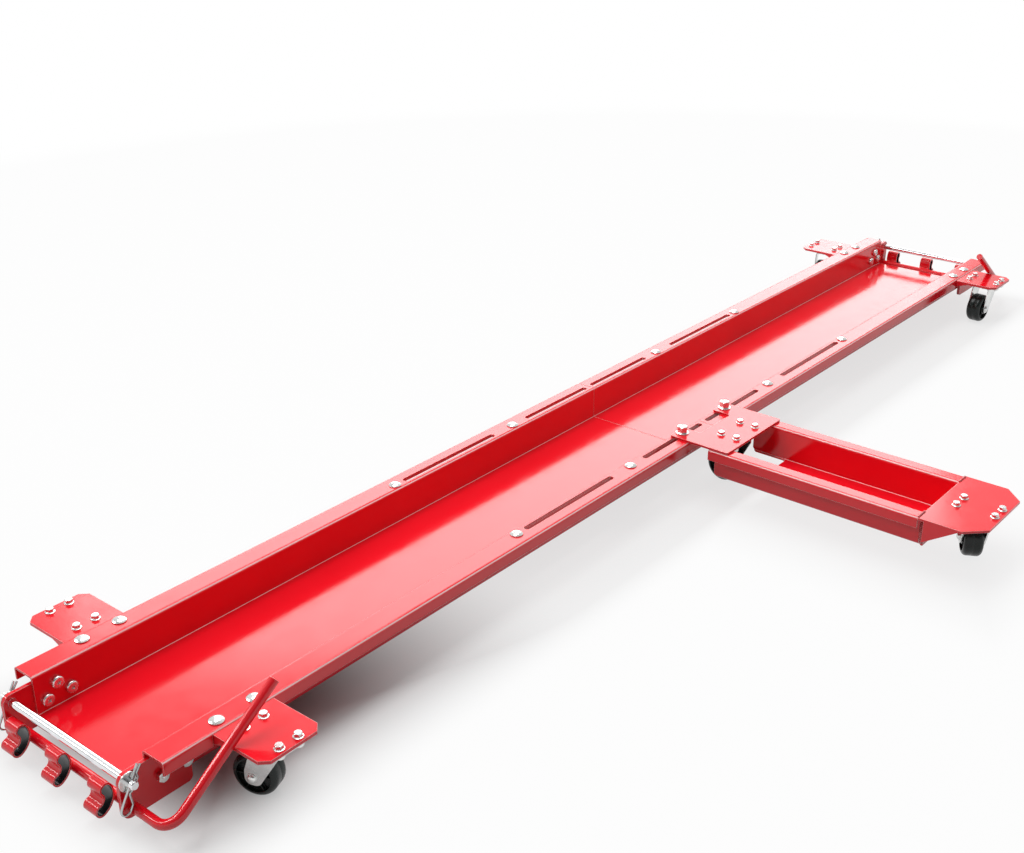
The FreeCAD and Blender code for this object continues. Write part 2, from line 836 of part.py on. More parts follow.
def tray_outer_plate():
    """Plate over the outer castor, with gussets and the tray's bent-down end wall."""
    half = tray_half_width
    corners = [
        (-half, -tray_end, 0),
        (half, -tray_end, 0),
        (half, -outer_plate_end + outer_plate_chamfer, 0),
        (half - outer_plate_chamfer, -outer_plate_end, 0),
        (-half + outer_plate_chamfer, -outer_plate_end, 0),
        (-half, -outer_plate_end + outer_plate_chamfer, 0),
    ]
    thickness = tray_plate_thickness
    bottom = flange_top - thickness
    plate = prism(corners, level(bottom), Vector(0, 0, thickness))
    wall_half = tray_half + sheet
    wall_height = tray_depth + sheet
    wall_corner = Vector(-wall_half, -tray_end - thickness, flange_top - wall_height)
    plate = plate.fuse(Part.makeBox(2 * wall_half, thickness, wall_height, wall_corner))
    start = -tray_end - outer_gusset_gap
    for x in (-half, half - thickness):
        side = gusset(x, start, flange_top, outer_gusset_run, outer_gusset_depth, thickness)
        plate = plate.fuse(side)
    return plate.removeSplitter()


def tray_clamp_bolts():
    """Tall clamp bolts with washers, and nuts under the splice angle."""
    head = hexagon(big_nut_across, clamp_head_height, Vector(0, 0, 0))
    thickness = clamp_washer_thickness
    washer = Part.makeCylinder(clamp_washer_diameter / 2, thickness, Vector(0, 0, -thickness))
    grip = thickness + tray_plate_thickness + 2 * sheet + 2 * slide_gap
    length = grip + big_nut_height + thread_end
    shank = Part.makeCylinder(clamp_bolt_diameter / 2, length, Vector(0, 0, -length))
    nut = hexagon(big_nut_across, big_nut_height, Vector(0, 0, -grip - big_nut_height))
    bolt = [head.fuse([washer, shank, nut]).removeSplitter()]
    top = flange_top + slide_gap + tray_plate_thickness + clamp_washer_thickness
    solids = []
    for x in (-clamp_x, clamp_x):
        solids += placed(bolt, Vector(x, -slot_line, top))
    return solids


# Every node

def main():
    os.makedirs("parts", exist_ok=True)
    ends = {"front": -1, "rear": 1}
    sides = {"left": -1, "right": 1}
    rail = rail_half()
    angle = splice_angle()
    plate = castor_plate()
    bracket = end_bracket()
    bar = brake_bar()
    feet = brake_feet()
    rod = ramp_rod()
    fasteners = rod_fasteners()
    bolts = []
    for side, y_sign in sides.items():
        export("splice_angle_" + side, [mirrored(angle, -1, y_sign)])
    for end, x_sign in ends.items():
        export("rail_half_" + end, [mirrored(rail, x_sign, -1)])
        export("brake_bar_" + end, [mirrored(bar, x_sign, -1)])
        export("brake_feet_" + end, [mirrored(foot, x_sign, -1) for foot in feet])
        export("ramp_rod_" + end, [mirrored(rod, x_sign, -1)])
        export("ramp_rod_fasteners_" + end, [mirrored(piece, x_sign, -1) for piece in fasteners])
        for side, y_sign in sides.items():
            corner = end + "_" + side
            export("castor_plate_" + corner, [mirrored(plate, x_sign, y_sign)])
            export("end_bracket_" + corner, [mirrored(bracket, x_sign, y_sign)])
            x = x_sign * plate_x
            y = y_sign * corner_castor_y
            export_castor(corner, x, y, plate_under, True)
            bolts += castor_bolts(x, y, flange_under, castor_plate_thickness, True)
    export("splice_bolts", splice_bolts())
    export("castor_plate_bolts", castor_plate_bolts())
    export("end_bracket_bolts", end_bracket_bolts())
    export("castor_bolts", bolts)

    inner_top = flange_top + slide_gap
    outer_top = flange_top - tray_plate_thickness
    export("tray_trough", [tray_trough()])
    export("tray_inner_plate", [tray_inner_plate()])
    export("tray_outer_plate", [tray_outer_plate()])
    export("tray_clamp_bolts", tray_clamp_bolts())
    export_castor("tray_inner", 0, -inner_castor_y, inner_top, False)
    export_castor("tray_outer", 0, -outer_castor_y, outer_top, True)
    thickness = tray_plate_thickness
    tray_bolts = castor_bolts(0, -inner_castor_y, inner_top + thickness, thickness, False)
    tray_bolts += castor_bolts(0, -outer_castor_y, flange_top, thickness, True)
    export("tray_castor_bolts", tray_bolts)


main()
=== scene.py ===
"""Looks of the mover dolly: finishes, fasteners, wheels, rods, welds, dark sleeves in the feet, studio
and camera.

Metres, in the part's own frame: X along the rail, the front end at -X, the tray at -Y.
"""
import json
import math
import random

import bmesh
import bpy
from mathutils import Matrix, Vector

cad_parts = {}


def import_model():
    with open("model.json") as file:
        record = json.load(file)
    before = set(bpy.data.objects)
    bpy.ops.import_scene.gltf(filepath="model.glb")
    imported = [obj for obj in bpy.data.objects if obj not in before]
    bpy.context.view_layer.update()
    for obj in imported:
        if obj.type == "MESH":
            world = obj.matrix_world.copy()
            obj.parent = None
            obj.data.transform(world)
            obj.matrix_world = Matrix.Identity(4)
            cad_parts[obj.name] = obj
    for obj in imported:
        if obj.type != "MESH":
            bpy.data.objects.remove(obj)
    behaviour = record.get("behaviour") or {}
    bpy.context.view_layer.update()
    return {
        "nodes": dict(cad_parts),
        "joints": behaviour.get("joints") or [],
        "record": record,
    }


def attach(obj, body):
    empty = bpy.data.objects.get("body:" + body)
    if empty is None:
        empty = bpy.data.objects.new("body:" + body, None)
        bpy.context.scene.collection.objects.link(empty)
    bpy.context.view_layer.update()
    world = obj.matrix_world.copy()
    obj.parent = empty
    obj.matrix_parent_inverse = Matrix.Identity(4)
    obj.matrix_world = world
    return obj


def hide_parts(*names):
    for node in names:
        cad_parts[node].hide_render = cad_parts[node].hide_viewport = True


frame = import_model()

# Rail, end brackets and corner castors, as in the solids
rail_half_length = 1.234
rail_height = 0.097
trough_half = 0.117
trough_depth = 0.060
flange_width = 0.041
sheet = 0.003
slot_from_trough = 0.014
splice_bolt_x = (0.231, 0.538)
bracket_thickness = 0.006
bracket_overlap = 0.062
bracket_screw_shares = ((0.27, 0.72), (0.86, 0.70), (0.55, 0.40))
castor_plate_from_end = 0.125
castor_plate_overhang = 0.093
castor_plate_thickness = 0.005
castor_inset = 0.042
plate_bolt_spacing = 0.061
plate_bolt_from_edge = 0.016
mount_thickness = 0.003
bolt_spacing_long = 0.064
bolt_spacing_short = 0.031

# Tray, as in the solids
tray_half = 0.066
tray_depth = 0.058
tray_flange = 0.028
tray_lip = 0.019
tray_from_flange = 0.042
tray_length = 0.390
tray_plate_thickness = 0.004
tray_plate_overlap = 0.038
tray_castor_from_edge = 0.034
outer_plate_length = 0.105
outer_castor_inset = 0.043
clamp_bolt_x = 0.071

# Floor locks, as in the solids
bar_radius = 0.007
bar_beyond_end = 0.026
bar_drop = 0.066
foot_lobe_radius = 0.009
foot_lobe_spacing = 0.0286
foot_dent = 0.0012
foot_wall = 0.0024
foot_length = 0.026
foot_spacing = 0.09
foot_shift = 0.008
foot_tilt = math.radians(19.4)

# Ramp rods, with washers and spring clips
rod_radius = 0.006
rod_beyond_end = 0.030
rod_drop = 0.024
rod_end_length = 0.015
rod_chamfer = 0.0012
rod_sides = 96
rod_washer_outer = 0.0135
rod_washer_thickness = 0.002
clip_wire_radius = 0.0016
clip_prong = 0.025
clip_loop_reach = 0.042
clip_loop_width = 0.015
clip_neck = 0.013
clip_bend = 0.003
clip_gap = 0.0003
clip_rest_gap = 0.0004
wire_sides = 12
bend_steps = 6

# Castor wheels and their axle heads
wheel_radius = 0.03175
wheel_half = 0.016
wheel_round = 0.008
wheel_edge = 0.0004
wheel_sides = 96
rim_depth = 0.008
web_half = 0.0095
hub_radius = 0.013
bush_radius = 0.007
rib_count = 6
rib_half = 0.0011
rib_inset = 0.0012
rib_taper_share = 0.8
mould_line = 0.0002
mould_line_half = 0.0004
fork_side_gap = 0.0015
fork_sheet = 0.0025
rivet_radius = 0.0062
rivet_height = 0.0036
rivet_ring_radius = 0.0078
rivet_ring_height = 0.001

# Fastener heads
dome_radius = 0.0105
dome_height = 0.0055
dome_rim = 0.0015
dome_rim_chamfer = 0.0005
dome_rows = 7
hex_across = 0.0105
hex_height = 0.0065
hex_flange_radius = 0.0073
hex_flange_height = 0.0018
hex_chamfer = 0.0009
hex_flat_share = 0.25
hex_face_share = 0.96
hex_points = 12
clamp_head_height = 0.012
clamp_washer_radius = 0.012
clamp_washer_thickness = 0.002
pan_radius = 0.009
pan_height = 0.006
pan_shoulder_share = 0.55
pan_inset_share = 0.3
pan_round_shares = (0.35, 0.7, 1.0)
recess_arm = 0.0034
recess_half_width = 0.0008
recess_depth = 0.0022
recess_taper_share = 0.55
recess_arms = 4
lathe_sides = 40

# Nuts and thread ends
small_nut_across = 0.012
small_nut_height = 0.0055
bracket_nut_across = 0.015
bracket_nut_height = 0.007
big_nut_across = 0.017
big_nut_height = 0.008
small_thread = 0.0035
big_thread = 0.005
thread_pitch = 0.00125
thread_tip = thread_pitch / 3
thread_end = 0.002
thread_depth_share = 0.14
thread_crest_share = 0.4
thread_tip_share = 0.8

# Welds, and the dark sleeves inside the feet
bead_radius = 0.0021
corner_bead_radius = 0.0042
bead_pitch = 0.0034
bead_least_ripples = 2
bead_ripple_share = 0.16
bead_end_share = 0.2
bead_end_power = 12
bead_steps_per_pitch = 4
bead_sides = 10
foot_sleeve_gap = 0.0001
foot_sleeve_wall = 0.0004
foot_sleeve_inset = 0.0006

# Fits and fineness
slide_gap = 0.0001
running_clearance = 0.00005
washer_edge = 0.0003
arc_steps = 14
smooth_limit = math.radians(32)

# Colours of the finishes, dark and light
red = ((0.78, 0.005, 0.014), (0.85, 0.007, 0.018))
weld_red = ((0.42, 0.003, 0.008), (0.66, 0.005, 0.014))
# Painted highlight: the pale pink that the paint takes on its sharp edges and folds
painted_highlight_red = ((0.93, 0.58, 0.58), (0.97, 0.70, 0.70))
zinc = ((0.60, 0.61, 0.61), (0.78, 0.78, 0.76))
clip_steel = ((0.38, 0.41, 0.41), (0.56, 0.58, 0.58))
chrome = ((0.74, 0.75, 0.77), (0.84, 0.84, 0.85))
turned_steel = ((0.42, 0.42, 0.43), (0.58, 0.58, 0.58))
wheel_black = ((0.005, 0.009, 0.008), (0.018, 0.025, 0.023))
# Dark tone of the sleeves that darken the hollows of the feet
foot_sleeve_black = ((0.010, 0.012, 0.016), (0.026, 0.030, 0.036))
white = (1.0, 1.0, 1.0, 1.0)

# Roughness of the finishes, low and high, and gloss of the plastics
paint_roughness = (0.10, 0.16)
zinc_roughness = (0.14, 0.30)
clip_roughness = (0.12, 0.24)
chrome_roughness = (0.05, 0.14)
turned_roughness = (0.28, 0.42)
wheel_roughness = (0.18, 0.34)
foot_sleeve_roughness = (0.14, 0.26)
wheel_gloss = 0.3
foot_sleeve_gloss = 0.5

# Grains, as repeats a metre and octaves, and how some are stretched along the axes
paint_cloud = (5.0, 3.0)
paint_smear = (38.0, 4.0)
paint_peel = (420.0, 2.0)
metal_cloud = (60.0, 4.0)
zinc_grain = (240.0, 3.0)
chrome_grain = (300.0, 3.0)
turned_grain = (500.0, 3.0)
plastic_bloom = (70.0, 5.0)
plastic_grain = (900.0, 2.0)
floor_cloud = (1.2, 2.0)
even_stretch = (1.0, 1.0, 1.0)
chrome_stretch = (1.0, 0.06, 1.0)
noise_span = (0.3, 0.7)
bloom_span = (0.35, 0.8)

# Bumps, as strength and depth, and softened edges
paint_bump = (0.06, 0.0004)
metal_bump = (0.06, 0.0002)
plastic_bump = (0.12, 0.0003)
# The paint's edge radius also sets the width of its painted edge highlight
paint_edge = 0.0012
metal_edge = 0.0006
plastic_edge = 0.0012
edge_samples = 6
# Cosines over which the edge and fold masks of the painted highlight rise
edge_cosines = (0.98, 0.8)
fold_cosines = (0.88, 0.76)

# Studio floor, and the shade under the dolly, which a painted white glow lightens everywhere but under
# the rail's front, and hides far out
floor_half = 90.0
floor_white = 0.50
floor_cloud_rise = 0.01
floor_roughness = 0.9
floor_gloss = 0.1
floor_fade = (1.3, 3.4)
rail_shade_along = (1.12, 1.36)
rail_shade_across = (0.12, 0.31)
rail_shade_shares = (0.0, 0.95)
tray_shade_middle = -0.19
tray_shade_along = (0.27, 0.40)
tray_shade_across = (0.05, 0.27)
tray_shade_shares = (0.80, 0.95)
# Painted light: over this span along X the glow under the rail rises to the thin share, lightening the
# rail's shadow behind its front
shade_thins = (-0.98, -0.52)
shade_thin_share = 0.72

# Studio dome, and lamps as place, aim, width, height, watts and roll
studio_bright = 1.0
studio_dark = 0.06
studio_bright_side = (0.60, 0.55, 0.58)
studio_turn = (-0.35, 0.9)
horizon_band = (0.26, 0.46)
lamps = {
    "overhead": ((0.0, 0.7, 3.2), (0.0, 0.2, 0.0), 3.0, 1.2, 60.0, 0.0),
    "backdrop_glow": ((4.81, 4.67, 3.24), (-0.58, 0.70, 0.64), 6.3, 3.37, 220.0, 0.0),
    "front_strip": ((-2.6, 2.5, 2.2), (-1.2, 0.2, 0.05), 2.4, 0.32, 32.0, math.radians(45)),
}

# Camera: its place, two of its axes and its lens
camera_place = (-1.98180, -1.09813, 1.14859)
camera_right = (0.63740, -0.77053, -0.00292)
camera_up = (0.32579, 0.26606, 0.90723)
camera_focal_pixels = 1376.07
picture_width_pixels = 1024
camera_sensor_mm = 36.0
camera_near = 0.05
camera_far = 100.0

# Places worked out from those sizes, measured from the rail's middle and from the floor
flange_under = rail_height - sheet
flange_edge = trough_half + flange_width
slot_line = trough_half + slot_from_trough
bracket_face = trough_half + sheet + bracket_thickness
plate_outer_edge = flange_edge + castor_plate_overhang
plate_bolt_line = flange_edge - plate_bolt_from_edge
castor_x = rail_half_length - castor_plate_from_end
castor_line = plate_outer_edge - castor_inset
bar_x = rail_half_length + bar_beyond_end
bar_z = rail_height - bar_drop
rod_x = rail_half_length + rod_beyond_end
rod_z = rail_height - rod_drop
rod_end = bracket_face + rod_end_length
tray_start = flange_edge + tray_from_flange
tray_end = tray_start + tray_length
tray_wall = tray_half + sheet
inner_castor_line = tray_start + tray_plate_overlap - tray_castor_from_edge
outer_plate_edge = tray_end + outer_plate_length
outer_castor_line = outer_plate_edge - outer_castor_inset
foot_middles = [foot_shift + step * foot_spacing for step in (-1, 0, 1)]

# The rail's middle in the part's frame, a fork's outer face from its wheel's middle, sides and ends
rail_line = (outer_plate_edge - plate_outer_edge) / 2
fork_face = wheel_half + fork_side_gap + fork_sheet
both_sides = (-1, 1)
rail_ends = {"front": -1, "rear": 1}
up_axis = (0, 0, 1)


# Node trees

def new_material(name):
    """Material with its node tree and the shader that is wired to its output."""
    material = bpy.data.materials.new(name)
    material.use_nodes = True
    return material, material.node_tree, material.node_tree.nodes["Principled BSDF"]


def math_node(tree, operation, *values):
    """Arithmetic on outputs and plain numbers."""
    node = tree.nodes.new("ShaderNodeMath")
    node.operation = operation
    for value, socket in zip(values, node.inputs):
        if isinstance(value, float):
            socket.default_value = value
        else:
            tree.links.new(value, socket)
    return node.outputs["Value"]


def split(tree, vector):
    """The X, Y and Z outputs of a vector output."""
    node = tree.nodes.new("ShaderNodeSeparateXYZ")
    tree.links.new(vector, node.inputs["Vector"])
    return node.outputs


def change(tree, value, start, end, low=0.0, high=1.0, interpolation="LINEAR"):
    """Change from a low number to a high one while the value goes from start to end."""
    node = tree.nodes.new("ShaderNodeMapRange")
    node.interpolation_type = interpolation
    node.inputs["From Min"].default_value = start
    node.inputs["From Max"].default_value = end
    node.inputs["To Min"].default_value = low
    node.inputs["To Max"].default_value = high
    tree.links.new(value, node.inputs["Value"])
    return node.outputs["Result"]


def smooth_change(tree, value, start, end, low=0.0, high=1.0):
    """The same change, eased at both ends."""
    return change(tree, value, start, end, low, high, "SMOOTHSTEP")


def noise_field(tree, grain, stretch=even_stretch):
    """Noise in the part's own coordinates, stretched along the axes where asked."""
    coordinates = tree.nodes.new("ShaderNodeTexCoord")
    mapping = tree.nodes.new("ShaderNodeMapping")
    mapping.inputs["Scale"].default_value = stretch
    tree.links.new(coordinates.outputs["Object"], mapping.inputs["Vector"])
    noise = tree.nodes.new("ShaderNodeTexNoise")
    repeats, octaves = grain
    noise.inputs["Scale"].default_value = repeats
    noise.inputs["Detail"].default_value = octaves
    tree.links.new(mapping.outputs["Vector"], noise.inputs["Vector"])
    return noise.outputs["Fac"]


def ramp(tree, factor, colours, span=noise_span):
    """Colours from dark to light over a span of the factor."""
    node = tree.nodes.new("ShaderNodeValToRGB")
    for element, colour, position in zip(node.color_ramp.elements, colours, span):
        element.position = position
        element.color = (*colour, 1.0)
    tree.links.new(factor, node.inputs["Fac"])
    return node.outputs["Color"]


def socket_named(sockets, identifier):
    """The socket with an identifier, where several have one name."""
    return next(socket for socket in sockets if socket.identifier == identifier)


def blend_colours(tree, factor, first, second):
    """Mixes two colour outputs by a factor output."""
    node = tree.nodes.new("ShaderNodeMix")
    node.data_type = "RGBA"
    tree.links.new(factor, socket_named(node.inputs, "Factor_Float"))
    tree.links.new(first, socket_named(node.inputs, "A_Color"))
    tree.links.new(second, socket_named(node.inputs, "B_Color"))
    return socket_named(node.outputs, "Result_Color")


def edge_mask(tree, radius):
    """One along sharp edges and zero on open faces, with the rounded normal that it comes from."""
    bevel = tree.nodes.new("ShaderNodeBevel")
    bevel.samples = edge_samples
    bevel.inputs["Radius"].default_value = radius
    geometry = tree.nodes.new("ShaderNodeNewGeometry")
    dot = tree.nodes.new("ShaderNodeVectorMath")
    dot.operation = "DOT_PRODUCT"
    tree.links.new(bevel.outputs["Normal"], dot.inputs[0])
    tree.links.new(geometry.outputs["Normal"], dot.inputs[1])
    return change(tree, dot.outputs["Value"], *edge_cosines), bevel.outputs["Normal"]


def fold_mask(tree):
    """One along the folds of a sheet whose flats lie square to the axes, zero on the flats."""
    coordinates = tree.nodes.new("ShaderNodeTexCoord")
    size = tree.nodes.new("ShaderNodeVectorMath")
    size.operation = "ABSOLUTE"
    tree.links.new(coordinates.outputs["Normal"], size.inputs[0])
    parts = split(tree, size.outputs["Vector"])
    largest = parts["X"]
    for axis in ("Y", "Z"):
        largest = math_node(tree, "MAXIMUM", largest, parts[axis])
    return change(tree, largest, *fold_cosines)


def bumped(tree, height, strength, depth, normal):
    """Bump from a height output, on top of a normal."""
    node = tree.nodes.new("ShaderNodeBump")
    node.inputs["Strength"].default_value = strength
    node.inputs["Distance"].default_value = depth
    tree.links.new(height, node.inputs["Height"])
    tree.links.new(normal, node.inputs["Normal"])
    return node.outputs["Normal"]


# Finishes

def paint(name, colours, folded):
    """Glossy powder coat: faint cloudiness, orange peel, and a painted highlight, pale pink, on edges
    and folds.
    """
    material, tree, shader = new_material(name)
    cloud = noise_field(tree, paint_cloud)
    body = ramp(tree, cloud, colours)
    # Painted highlight: pale pink blended in along sharp edges, and along folds where asked
    edges, rounded = edge_mask(tree, paint_edge)
    painted_light = ramp(tree, cloud, painted_highlight_red)
    colour = blend_colours(tree, edges, body, painted_light)
    if folded:
        colour = blend_colours(tree, fold_mask(tree), colour, painted_light)
    tree.links.new(colour, shader.inputs["Base Color"])
    smear = noise_field(tree, paint_smear)
    tree.links.new(change(tree, smear, *noise_span, *paint_roughness), shader.inputs["Roughness"])
    peel = noise_field(tree, paint_peel)
    tree.links.new(bumped(tree, peel, *paint_bump, rounded), shader.inputs["Normal"])
    return material


def plated(name, colours, roughness, grain, stretch=even_stretch):
    """Bare or plated metal with a directional or cloudy grain."""
    material, tree, shader = new_material(name)
    shader.inputs["Metallic"].default_value = 1.0
    cloud = noise_field(tree, metal_cloud)
    tree.links.new(ramp(tree, cloud, colours), shader.inputs["Base Color"])
    streak = noise_field(tree, grain, stretch)
    tree.links.new(change(tree, streak, *noise_span, *roughness), shader.inputs["Roughness"])
    rounded = edge_mask(tree, metal_edge)[1]
    tree.links.new(bumped(tree, streak, *metal_bump, rounded), shader.inputs["Normal"])
    return material


def moulded(name, colours, roughness, gloss):
    """Moulded plastic or rubber with a dusty bloom and a fine grain."""
    material, tree, shader = new_material(name)
    shader.inputs["Specular IOR Level"].default_value = gloss
    bloom = noise_field(tree, plastic_bloom)
    tree.links.new(ramp(tree, bloom, colours, bloom_span), shader.inputs["Base Color"])
    tree.links.new(change(tree, bloom, *noise_span, *roughness), shader.inputs["Roughness"])
    grain = noise_field(tree, plastic_grain)
    rounded = edge_mask(tree, plastic_edge)[1]
    tree.links.new(bumped(tree, grain, *plastic_bump, rounded), shader.inputs["Normal"])
    return material


finishes = {
    # All three paints carry the painted edge highlight, and the paint of folded sheets also has it along
    # the folds
    "red_paint": paint("red_powder_coat", red, False),
    "fold_highlight_paint": paint("red_powder_coat_with_fold_highlights", red, True),
    "weld_paint": paint("red_powder_coat_on_welds", weld_red, False),
    "zinc": plated("bright_zinc", zinc, zinc_roughness, zinc_grain),
    "clip_steel": plated("clip_steel", clip_steel, clip_roughness, zinc_grain),
    "chrome": plated("polished_chrome", chrome, chrome_roughness, chrome_grain, chrome_stretch),
    "wheel": moulded("wheel_plastic", wheel_black, wheel_roughness, wheel_gloss),
    "bush": plated("turned_steel", turned_steel, turned_roughness, turned_grain),
    "dark_sleeve": moulded("dark_foot_sleeve", foot_sleeve_black, foot_sleeve_roughness, foot_sleeve_gloss),
}

# Folded sheets, which also get the painted highlight along their folds
folded_nodes = ("rail_half_front", "rail_half_rear", "tray_trough")
for part in frame["record"]["subparts"]:
    node = frame["nodes"][part["node"]]
    finish = "fold_highlight_paint" if part["node"] in folded_nodes else part["material_slot"]
    node.data.materials.clear()
    node.data.materials.append(finishes[finish])


# Meshes

def mesh_piece(name, finish, body, slot, build, *sizes):
    """Makes a mesh object by a building function, gives it a finish and sets it on a body."""
    mesh = bpy.data.meshes.new(name)
    work = bmesh.new()
    build(work, *sizes)
    bmesh.ops.recalc_face_normals(work, faces=work.faces)
    for face in work.faces:
        face.smooth = True
    work.to_mesh(mesh)
    work.free()
    mesh.set_sharp_from_angle(angle=smooth_limit)
    piece = bpy.data.objects.new(name, mesh)
    bpy.context.scene.collection.objects.link(piece)
    mesh.materials.append(finishes[finish])
    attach(piece, body)
    return piece


def ring_of(work, points):
    """Mesh points of one ring."""
    return [work.verts.new(point) for point in points]


def band(work, first, second):
    """Faces between two rings of equal count."""
    for i in range(len(first)):
        j = (i + 1) % len(first)
        work.faces.new((first[i], first[j], second[j], second[i]))


def tube(work, rings):
    """Closed skin over rings of points, with a cap at each end."""
    rows = [ring_of(work, ring) for ring in rings]
    for first, second in zip(rows, rows[1:]):
        band(work, first, second)
    work.faces.new(rows[0])
    work.faces.new(rows[-1])


def sleeve(work, rings):
    """Skin over rings of points, with the last ring joined to the first."""
    rows = [ring_of(work, ring) for ring in rings]
    for first, second in zip(rows, rows[1:] + rows[:1]):
        band(work, first, second)


def circle(radius, height, sides):
    """Level ring of points."""
    turns = [2 * math.pi * i / sides for i in range(sides)]
    return [(radius * math.cos(turn), radius * math.sin(turn), height) for turn in turns]


def placed(place, points):
    """Points carried by a matrix."""
    return [place @ Vector(point) for point in points]


def lathe(work, profile, place, sides=lathe_sides):
    """Turned solid: the profile is (radius, height) from one end of the axis to the other."""
    tube(work, [placed(place, circle(*point, sides)) for point in profile])


def ring_lathe(work, profile, place, sides=lathe_sides):
    """Turned ring: the profile closes on itself away from the axis."""
    sleeve(work, [placed(place, circle(*point, sides)) for point in profile])


def axes_at(place, axis, turn=0.0):
    """Matrix that carries +Z to an axis at a place, after a turn about it."""
    stand = Vector(axis).to_track_quat("Z", "Y").to_matrix().to_4x4()
    return Matrix.Translation(place) @ stand @ Matrix.Rotation(turn, 4, "Z")


# Welds, and the dark sleeves inside the feet

def bead(work, start, end, size=bead_radius):
    """Rippled weld bead between two points, with rounded ends."""
    run = end - start
    along = run.normalized()
    side = along.orthogonal().normalized()
    other = along.cross(side)
    steps = max(bead_least_ripples, round(run.length / bead_pitch)) * bead_steps_per_pitch
    turns = [2 * math.pi * k / bead_sides for k in range(bead_sides)]
    spokes = [side * math.cos(turn) + other * math.sin(turn) for turn in turns]
    rings = []
    for i in range(steps + 1):
        share = i / steps
        phase = math.cos(2 * math.pi * i / bead_steps_per_pitch)
        fullness = math.sqrt(max(0.0, 1 - (2 * share - 1) ** bead_end_power))
        radius = size * min(1.0, fullness + bead_end_share) * (1 + bead_ripple_share * phase)
        centre = start + run * share
        rings.append([centre + spoke * radius for spoke in spokes])
    tube(work, rings)


def arc_points(centre, radius, first, last):
    """Points on an arc, angles in radians."""
    x, y = centre
    angles = [first + (last - first) * (i / arc_steps) for i in range(arc_steps)]
    return [(x + radius * math.cos(angle), y + radius * math.sin(angle)) for angle in angles]


def bean_outline(shrink):
    """Bean section about its middle, in by shrink: first axis towards the bar."""
    half = foot_lobe_spacing / 2
    lobe = foot_lobe_radius - shrink
    bulge = bar_z - foot_lobe_radius - bar_radius
    back = bulge - foot_lobe_radius
    bulge_centre = (back ** 2 - half ** 2) / (2 * back)
    reach = foot_lobe_radius - foot_dent
    dent_centre = (half ** 2 - reach ** 2) / (2 * reach)
    bulge_lean = math.atan2(half, -bulge_centre)
    dent_lean = math.atan2(half, dent_centre)
    points = arc_points((0, half), lobe, bulge_lean, math.pi + dent_lean)
    points += arc_points((-dent_centre, 0), dent_centre - foot_dent + shrink, dent_lean, -dent_lean)
    points += arc_points((0, -half), lobe, math.pi - dent_lean, 2 * math.pi - bulge_lean)
    points += arc_points((bulge_centre, 0), bulge - bulge_centre - shrink, -bulge_lean, bulge_lean)
    return points


def foot_point(x_sign, middle, inward, upward, along):
    """A point of a foot: inward towards the bar, upward along the bean, along the bar."""
    from_bar = inward - (bar_z - foot_lobe_radius)
    x = from_bar * math.cos(foot_tilt) + upward * math.sin(foot_tilt)
    z = -from_bar * math.sin(foot_tilt) + upward * math.cos(foot_tilt)
    return Vector((x_sign * (bar_x - x), rail_line + middle + along, bar_z + z))


def foot_dark_sleeves(work, x_sign):
    """Dark sleeves inside the tubes of one lock's feet, darkening their hollows."""
    half = foot_length / 2 - foot_sleeve_inset
    outer = bean_outline(foot_wall + foot_sleeve_gap)
    inner = bean_outline(foot_wall + foot_sleeve_gap + foot_sleeve_wall)
    loops = [(outer, -half), (outer, half), (inner, half), (inner, -half)]
    for middle in foot_middles:
        rings = []
        for outline, along in loops:
            rings.append([foot_point(x_sign, middle, *point, along) for point in outline])
        sleeve(work, rings)


def foot_welds(work, x_sign):
    """Two beads along the bar on each of one lock's feet."""
    half = foot_length / 2 - bead_radius
    inward = bar_z - foot_lobe_radius - bar_radius
    for middle in foot_middles:
        for side in both_sides:
            upward = side * 2 * bead_radius
            bead(work, *[foot_point(x_sign, middle, inward, upward, along) for along in (-half, half)])


def tray_welds(work):
    """Upright beads at the outer corners of the tray, and short ones across its flanges."""
    y = rail_line - tray_end
    under = rail_height - tray_depth - sheet
    lip_under = rail_height - tray_lip
    for side in both_sides:
        x = side * tray_wall
        foot = Vector((x, y, under + corner_bead_radius))
        bead(work, foot, Vector((x, y, lip_under)), corner_bead_radius)
        inner = side * (tray_wall - bead_radius)
        outer = side * (tray_half + tray_flange - bead_radius)
        bead(work, Vector((inner, y, rail_height)), Vector((outer, y, rail_height)))


for end, x_sign in rail_ends.items():
    mesh_piece("foot_dark_sleeves_" + end, "dark_sleeve", "brake_" + end, "red_paint", foot_dark_sleeves, x_sign)
    mesh_piece("foot_welds_" + end, "red_paint", "brake_" + end, "red_paint", foot_welds, x_sign)
mesh_piece("tray_welds", "weld_paint", "tray", "red_paint", tray_welds)


# Fasteners

def hex_row(across, height, corner_height):
    """Ring of a hexagon's corners and flat middles, the corners at their own height."""
    row = []
    for i in range(hex_points):
        angle = 2 * math.pi * i / hex_points
        corner = i % 2 == 0
        radius = across / math.sqrt(3) if corner else across / 2
        level = corner_height if corner else height
        row.append((radius * math.cos(angle), radius * math.sin(angle), level))
    return row


def hex_block(work, across, bottom, top, both_ends, place):
    """Hexagon with the usual round chamfer on its top, and on its bottom where asked."""
    face = across / 2 * hex_face_share
    flat = hex_chamfer * hex_flat_share
    rows = []
    if both_ends:
        rows.append(circle(face, bottom, hex_points))
        rows.append(hex_row(across, bottom + flat, bottom + hex_chamfer))
    else:
        rows.append(hex_row(across, bottom, bottom))
    rows.append(hex_row(across, top - flat, top - hex_chamfer))
    rows.append(circle(face, top, hex_points))
    tube(work, [placed(place, row) for row in rows])


